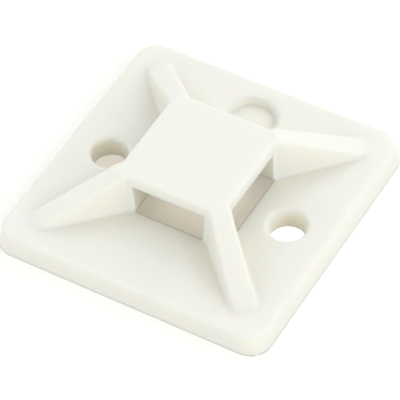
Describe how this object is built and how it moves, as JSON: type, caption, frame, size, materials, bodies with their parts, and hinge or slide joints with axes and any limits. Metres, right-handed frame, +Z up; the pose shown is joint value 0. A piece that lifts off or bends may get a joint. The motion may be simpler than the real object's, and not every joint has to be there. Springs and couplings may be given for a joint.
{
  "type": "cable tie mount",
  "caption": "Square moulded plate with sloping edges and a raised, ribbed saddle that is slotted both ways for a cable tie, with screw holes beside it.",
  "frame": {"origin": "centre of the square underside of the plate", "axes": "+Z up, away from the surface that the mount is fixed to; X and Y along the plate's sides, with the screw holes either side along X and the shallow dish towards +Y"},
  "size_m": [0.028, 0.028, 0.0066],
  "materials": {
    "nylon": "natural off-white nylon, satin as moulded"
  },
  "bodies": {
    "root": {"mount_body": "nylon"}
  },
  "joints": []
}
